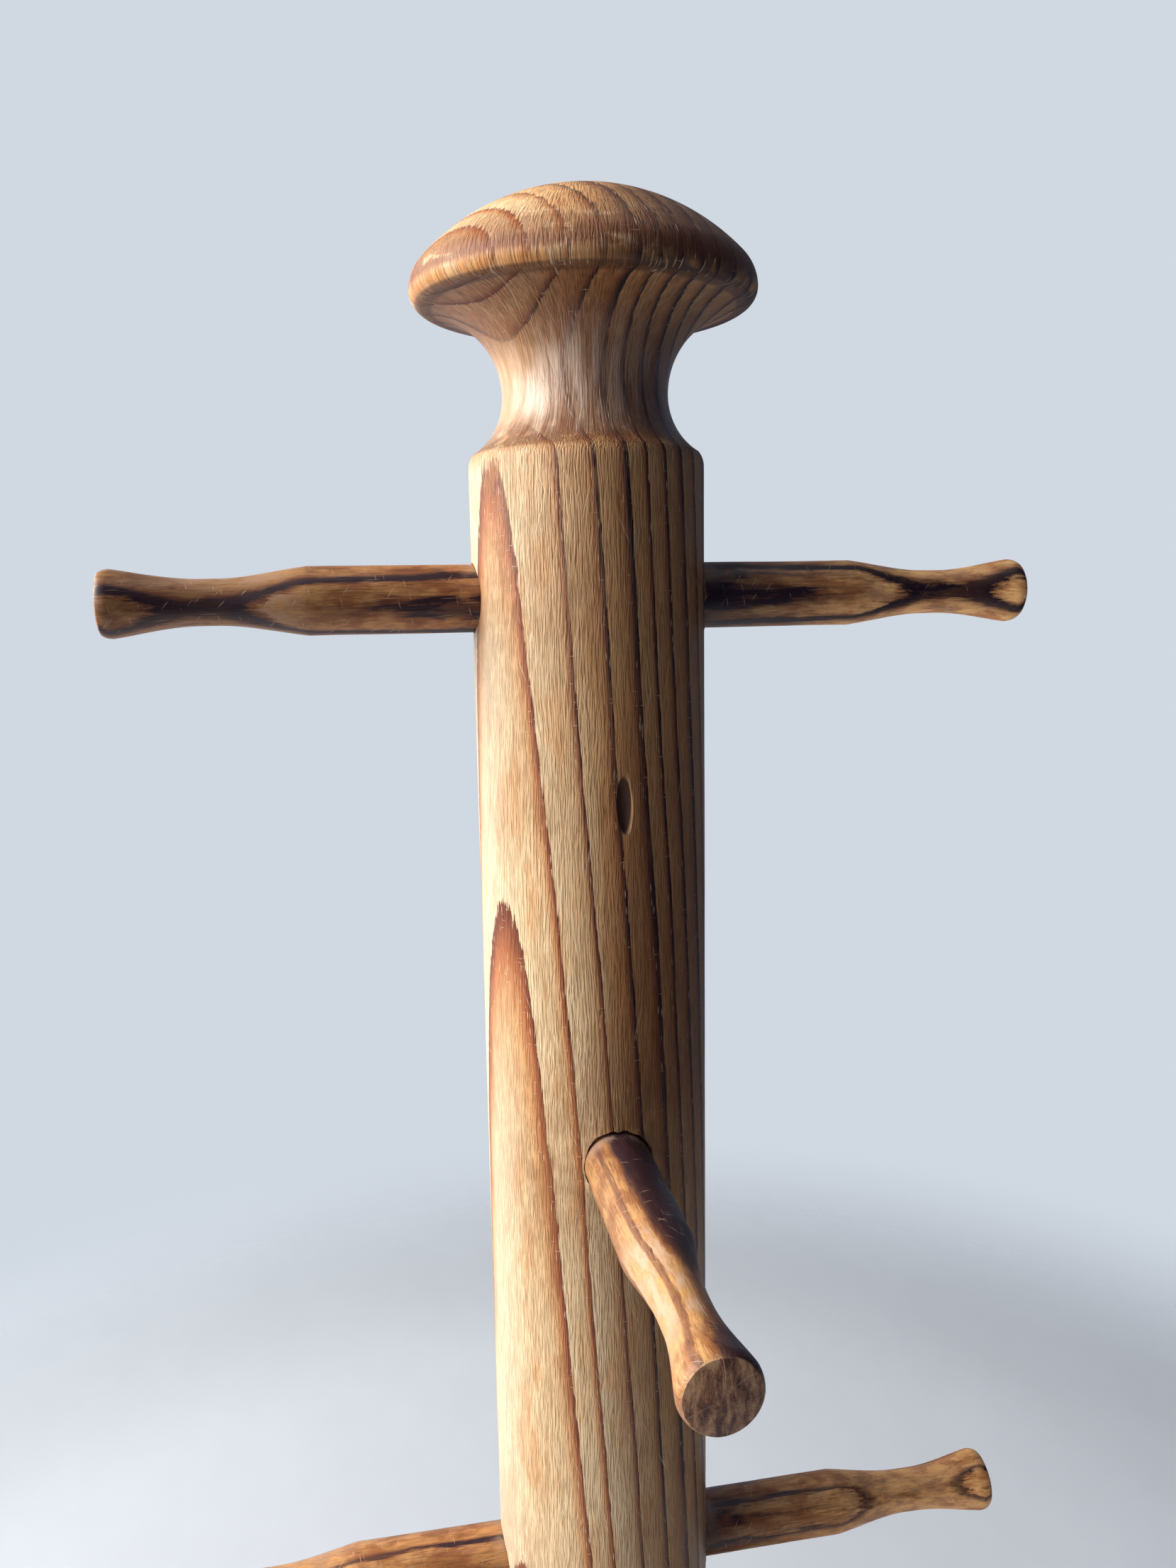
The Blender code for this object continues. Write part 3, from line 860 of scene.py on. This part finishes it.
def post_profile():
    """Knob, shoulder, straight side and tenon, with closer rings of points near the pegs."""
    profile = knob_profile()
    edge_radius, edge_height = profile[-1]
    shoulder = 3.9 * MM
    start = math.acos(1 - (POST_RADIUS - edge_radius) / shoulder)
    centre = (POST_RADIUS - shoulder, edge_height - shoulder * math.sin(start))
    profile += arc(centre, shoulder, start, 0.0, 8)[1:]
    foot = BASE_TOP + GAP
    chamfer = 0.6 * MM
    profile.append((POST_RADIUS, foot + chamfer))
    profile.append((POST_RADIUS - chamfer, foot))
    profile.append((TENON_RADIUS, foot))
    profile.append((TENON_RADIUS, POST_LOW.z + chamfer))
    profile.append((TENON_RADIUS - chamfer, POST_LOW.z))
    profile.append((0.0, POST_LOW.z))

    def spacing(height):
        near_peg = min(abs(height - tier) for tier in (TIER_TOP, TIER_MIDDLE, TIER_BOTTOM)) < 9 * MM
        return 0.45 * MM if near_peg else 1.6 * MM

    shortest_side = 60 * MM
    result = []
    for start, end in zip(profile, profile[1:]):
        result.append(start)
        if start[1] - end[1] > shortest_side:
            height = start[1] - spacing(start[1] - MM / 2)
            while height > end[1]:
                result.append((POST_RADIUS, height))
                height -= spacing(height - MM / 2)
    result.append(profile[-1])
    return result


def post_skin(angle, radius, height):
    """The turned skin: a few hundredths out of round, with torn wood lifted round each peg."""
    outside = np.clip((radius - 13 * MM) / (2 * MM), 0, 1)
    uneven = 0.04 * MM * smooth_noise(3, angle * 2, height * 60) * outside
    lift = 0.0
    for index, (direction, tier) in enumerate(PEGS.values()):
        centre = math.atan2(direction[1], direction[0])
        turn = (angle - centre + math.pi) % (2 * math.pi) - math.pi
        side = turn * POST_RADIUS
        rise = height - tier
        away = np.hypot(side, rise)
        around = np.arctan2(rise, side)
        ragged = np.clip(0.5 + smooth_noise(20 + index, np.sin(around) * 3, np.cos(around) * 3), 0, 1)
        lift = lift + 0.4 * MM * ragged * np.exp(-((away - 6.4 * MM) / (0.8 * MM)) ** 2)
    return uneven + lift * outside * (np.abs(turn) < 2)


def ragged_bore(name, direction, height, seed):
    """A blind bore a little wider than the peg, torn wider in places at its mouth.

    The bores of the middle pegs are torn the most.
    """
    inner = PEG_INNER - GAP
    outer = POST_RADIUS + 4 * MM
    depth_torn = 0.6 * MM
    mouth = POST_RADIUS - depth_torn
    deepest = (0.75 if "middle" in name else 0.3) * MM
    bore = PEG_RADIUS + 0.12 * MM
    profile = resample([(0.0, outer), (bore, outer), (bore, mouth - MM)], 0.4 * MM)
    profile += [(bore, inner), (0.0, inner)]

    def torn(angle, radius, depth):
        upward = np.clip(-np.cos(angle), 0, 1)
        coarse = smooth_noise(seed, np.cos(angle) * 3, np.sin(angle) * 3)
        fine = smooth_noise(seed + 1, np.cos(angle) * 11, np.sin(angle) * 11)
        amount = np.clip(0.12 + 0.5 * upward + 0.35 * coarse + 0.3 * fine, 0, 1)
        near = np.clip((depth - mouth + depth_torn) / depth_torn, 0, 1)
        return deepest * amount * near * (radius > PEG_RADIUS)

    cutter = turned_mesh(name, profile, 96, torn)
    aim(cutter, direction, height)
    return cutter


def dent():
    """A shallow almond-shaped hollow, deepest at its right-hand side."""
    bpy.ops.mesh.primitive_uv_sphere_add(segments=64, ring_count=48, radius=1.0)
    cutter = bpy.context.object
    size = Matrix.Diagonal((0.95 * MM, 1.65 * MM, 5.1 * MM, 1.0))
    dip = Matrix.Rotation(math.radians(-24), 4, 'Z')
    lean = Matrix.Rotation(math.radians(3), 4, 'X')
    spin = Matrix.Rotation(DENT_ANGLE, 4, 'Z')
    out = Matrix.Translation((POST_RADIUS + 0.05 * MM, 0, 0))
    lift = Matrix.Translation((0, 0, DENT_HEIGHT))
    cutter.data.transform(lift @ spin @ out @ lean @ dip @ size)
    return cutter


def pilot_hole():
    """The screw's hole up the post's tenon."""
    top = SCREW_HIGH.z + GAP
    bottom = POST_LOW.z - MM
    profile = [(0.0, top), (SHANK_HOLE_RADIUS, top), (SHANK_HOLE_RADIUS, bottom), (0.0, bottom)]
    return turned_mesh("pilot", profile, 32)


def make_post():
    post = turned_mesh("turned_post", post_profile(), 224, post_skin)
    cutters = [ragged_bore("bore_for_" + name, *PEGS[name], 40 + 2 * i) for i, name in enumerate(PEGS)]
    cut_away(post, cutters + [dent(), pilot_hole()])
    pith = (PITH_DISTANCE * math.cos(PITH_ANGLE), PITH_DISTANCE * math.sin(PITH_ANGLE))
    finish_piece(post, post_material(pith), "post")


# ---------------------------------------------------------------- pegs


def ease(corner, waist, softness, count):
    """From a corner to the waist, both (distance, radius). A softness of 1 rounds the corner away."""
    points = []
    for i in range(count + 1):
        t = i / count
        half_wave = (1 - math.cos(math.pi * t)) / 2
        quarter_wave = math.sin(math.pi * t / 2)
        fall = quarter_wave + (half_wave - quarter_wave) * softness
        points.append((corner[0] + (waist[0] - corner[0]) * t, corner[1] + (waist[1] - corner[1]) * fall))
    return points


def peg_profile():
    """Outer end to inner end, (radius, distance from the post's axis)."""
    waist = 4.05 * MM
    flare = 5.9 * MM
    straight = 28.7 * MM
    waist_start = 44.3 * MM
    waist_end = 46.8 * MM
    tip = PEG_OUTER - POST_RADIUS
    flare_at = tip - 2.2 * MM
    end_radius = 5.35 * MM
    dome = 0.4 * MM
    steep = math.radians(65)
    outline = [(0.0, PEG_RADIUS)]
    outline += ease((straight, PEG_RADIUS), (waist_start, waist), 0.35, 28)
    outline += reversed(ease((flare_at, flare), (waist_end, waist), 0.25, 28))
    for i in range(1, 9):
        turn = steep * i / 8
        reach = (tip - dome - flare_at) * math.sin(turn) / math.sin(steep)
        fall = (flare - end_radius) * (1 - math.cos(turn)) / (1 - math.cos(steep))
        outline.append((flare_at + reach, flare - fall))
    for i in range(1, 9):
        t = i / 8
        outline.append((tip - dome * (1 - t) ** 2, end_radius * (1 - t)))
    profile = [(radius, POST_RADIUS + distance) for distance, radius in reversed(outline)]
    profile[0] = (0.0, PEG_OUTER)
    chamfer = 1 * MM
    profile.append((PEG_RADIUS, PEG_INNER + chamfer))
    profile.append((PEG_RADIUS - chamfer, PEG_INNER))
    profile.append((0.0, PEG_INNER))
    return resample(profile, 1.2 * MM)


def make_peg(name, look):
    direction, height = PEGS[name]

    def skin(angle, radius, distance):
        outside = np.clip((distance - POST_RADIUS - 2 * MM) / (6 * MM), 0, 1)
        wobble = smooth_noise(look.seed, np.cos(angle) * 1.5, np.sin(angle) * 1.5, distance * 90)
        return 0.07 * MM * wobble * outside * np.clip(radius / (3 * MM), 0, 1)

    peg = turned_mesh(name + "_turned", peg_profile(), 96, skin)
    aim(peg, direction, height)
    finish_piece(peg, peg_material(name + " wood", direction, height, look), name)


def make_pegs():
    for name, look in PEG_LOOKS.items():
        make_peg(name, look)


# ---------------------------------------------------------------- base, pads and screw


def base_profile():
    seat = 25 * MM
    crown = 2.2 * MM
    edge_round = 7 * MM
    chamfer = 1.2 * MM
    profile = [(0.0, BASE_TOP), (TENON_RADIUS, BASE_TOP), (seat, BASE_TOP)]
    fall = BASE_RADIUS - edge_round - seat
    for i in range(1, 31):
        t = i / 30
        profile.append((seat + fall * t, BASE_TOP - crown * t * t))
    edge_centre = (BASE_RADIUS - edge_round, BASE_TOP - crown - edge_round)
    profile += arc(edge_centre, edge_round, math.pi / 2, 0.0, 20)[1:]
    profile.append((BASE_RADIUS, BASE_BOTTOM + chamfer))
    profile.append((BASE_RADIUS - chamfer, BASE_BOTTOM))
    profile.append((0.0, BASE_BOTTOM))
    return resample(profile, 2 * MM)


def make_base():
    """The disc, with a mortise for the tenon and a countersunk hole for the screw."""
    base = turned_mesh("turned_base", base_profile(), 256)
    floor = POST_LOW.z - GAP
    wide = TENON_RADIUS + GAP
    above = BASE_TOP + MM
    below = BASE_BOTTOM - MM
    mortise = [(0.0, above), (wide, above), (wide, floor), (0.0, floor)]
    head = SCREW_HIGH.x + GAP
    hole = [
        (0.0, floor + MM),
        (SHANK_HOLE_RADIUS, floor + MM),
        (SHANK_HOLE_RADIUS, SCREW_LOW.z + SCREW_HEAD_DEPTH + GAP),
        (head, SCREW_LOW.z + GAP),
        (head, below),
        (0.0, below),
    ]
    cut_away(base, [turned_mesh("mortise", mortise, 96), turned_mesh("hole", hole, 64)])
    finish_piece(base, base_material(), "base")


def make_pads():
    material = felt_material()
    radius = (PAD_HIGH.x - PAD_LOW.x) / 2
    chamfer = 0.3 * MM
    for i in range(1, 5):
        node = "felt_pad_" + str(i)
        low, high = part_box(node)
        middle = (low + high) / 2
        profile = [(0.0, high.z), (radius, high.z), (radius, chamfer), (radius - chamfer, 0.0), (0.0, 0.0)]

        def fray(angle, at, height, seed=80 + i):
            return 0.12 * MM * (smooth_noise(seed, angle * 9, height * 4000) - 1) * (at > 0.9 * radius)

        pad = turned_mesh(node + "_disc", resample(profile, 0.5 * MM), 96, fray)
        pad.data.transform(Matrix.Translation((middle.x, middle.y, 0)))
        finish_piece(pad, material, node, 60)


def make_screw():
    """Countersunk wood screw: real helical thread, plain shank and a cross recess."""
    core = 1.6 * MM
    thread = 2.4 * MM
    pitch = 2.2 * MM
    shank_end = SCREW_LOW.z + 12 * MM
    tip_length = 4 * MM
    head = SCREW_HIGH.x
    head_rim = 0.3 * MM
    profile = [
        (0.0, SCREW_HIGH.z),
        (core, SCREW_HIGH.z - tip_length),
        (core, shank_end),
        (thread, shank_end - 0.5 * MM),
        (thread, SCREW_LOW.z + SCREW_HEAD_DEPTH),
        (head, SCREW_LOW.z + head_rim),
        (head, SCREW_LOW.z),
        (0.0, SCREW_LOW.z),
    ]

    def helix(angle, radius, height):
        turn = ((height / pitch + angle / (2 * math.pi)) % 1.0) * 2 - 1
        ridge = np.clip(1 - np.abs(turn) / 0.45, 0, 1)
        threaded = (height > shank_end) * np.clip((SCREW_HIGH.z - height) / tip_length, 0, 1)
        return (thread - core) * ridge * threaded * (radius > 0.1 * MM)

    screw = turned_mesh("wood_screw", resample(profile, 0.2 * MM), 48, helix)
    slots = []
    for i in range(2):
        bpy.ops.mesh.primitive_cube_add(size=1.0)
        slot = bpy.context.object
        size = Matrix.Diagonal((5.2 * MM, 1.1 * MM, 3.6 * MM, 1.0))
        spin = Matrix.Rotation(math.pi / 4 + i * math.pi / 2, 4, 'Z')
        slot.data.transform(Matrix.Translation((0, 0, SCREW_LOW.z)) @ spin @ size)
        slots.append(slot)
    cut_away(screw, slots)
    finish_piece(screw, steel_material(), "base_screw", 35)


# ---------------------------------------------------------------- stage, light and camera


def make_floor():
    """A pale disc that fades out into the pale surroundings."""
    profile = [(0.0, 0.0), (0.1, 0.0), (0.3, 0.0), (0.7, 0.0), (0.0, -1 * MM)]
    floor = turned_mesh("floor", profile, 96)
    g = Surface("pale floor")
    lumps = g.noise(g.place, 0.02, 3.0, 0.6)
    tone = g.mix(lumps, rgb(203, 208, 212), rgb(209, 214, 218))
    material = g.finish(tone, 0.7, g.bump(lumps, 0.5 * MM), specular=0.2)
    away = g.vector('LENGTH', g.place)
    faded, solid = 440.0, 220.0
    g.put(g.shader.inputs["Alpha"], g.between(away, faded, solid))
    floor.data.materials.append(material)


def add_light(name, degrees, away, height, size, power, colour):
    """An area light that looks at the object, placed by its angle from the picture's viewpoint."""
    side = FRONT + math.radians(degrees)
    place = Vector((away * math.cos(side), away * math.sin(side), height))
    light = bpy.data.lights.new(name, 'AREA')
    light.shape = 'RECTANGLE'
    light.size, light.size_y = size
    light.energy = power
    light.color = colour
    obj = bpy.data.objects.new(name, light)
    obj.location = place
    target = Vector((0, 0, 0.24))
    obj.rotation_euler = (target - place).to_track_quat('-Z', 'Y').to_euler()
    obj.visible_camera = False
    bpy.context.scene.collection.objects.link(obj)


def make_lights():
    """A large window on the left, a weaker one nearer the front, and light from above."""
    add_light("window", -83, 0.95, 0.68, (0.68, 0.8), 23.5, (1.0, 0.975, 0.955))
    add_light("far window", -40, 1.2, 0.50, (0.6, 0.8), 3.0, (0.92, 0.96, 1.0))
    add_light("ceiling", 40, 0.12, 1.6, (0.9, 0.9), 3.0, (0.88, 0.94, 1.0))
    make_surroundings()


def make_surroundings():
    """Dim all round, brighter behind the object and brightest beside it, and plain pale to the camera."""
    world = bpy.data.worlds.new("room")
    world.use_nodes = True
    tree = world.node_tree
    g = Graph(tree)
    way = tree.nodes.new("ShaderNodeTexCoord").outputs["Generated"]
    behind = (-math.cos(FRONT), -math.sin(FRONT), 0.0)
    aside = FRONT + math.radians(-138)
    beside = (math.cos(aside), math.sin(aside), 0.0)
    dim = (0.020, 0.028, 0.072, 1.0)
    bright = (0.17, 0.19, 0.24, 1.0)
    brightest = (1.1, 1.12, 1.16, 1.0)
    glow = g.mix(g.between(g.vector('DOT_PRODUCT', way, behind), 0.25, 0.85), dim, bright)
    glow = g.mix(g.between(g.vector('DOT_PRODUCT', way, beside), 0.70, 0.95), glow, brightest)
    seen = tree.nodes.new("ShaderNodeLightPath").outputs["Is Camera Ray"]
    g.put(tree.nodes["Background"].inputs[0], g.mix(seen, glow, rgb(208, 216, 226)))
    bpy.context.scene.world = world
    bpy.context.scene.view_settings.view_transform = 'Standard'


def make_camera():
    """The picture's viewpoint: level with the top pegs, close, and looking a little down."""
    distance = 216.75 * MM
    height = TIER_TOP - 1.5 * MM
    pan = math.radians(-0.16)
    pitch = math.radians(-8.65)
    roll = math.radians(-0.96)
    camera = bpy.data.cameras.new("camera")
    camera.sensor_width = 36.0
    camera.lens = 27.0
    camera.clip_start = 0.005
    obj = bpy.data.objects.new("camera", camera)
    obj.location = (distance * math.cos(FRONT), distance * math.sin(FRONT), height)
    heading = FRONT + math.pi - pan
    level = math.cos(pitch)
    look = Vector((math.cos(heading) * level, math.sin(heading) * level, math.sin(pitch)))
    turn = look.to_track_quat('-Z', 'Y').to_matrix().to_4x4() @ Matrix.Rotation(roll, 4, 'Z')
    obj.rotation_euler = turn.to_euler()
    bpy.context.scene.collection.objects.link(obj)
    bpy.context.scene.camera = obj


make_post()
make_pegs()
make_base()
make_pads()
make_screw()
make_floor()
make_lights()
make_camera()
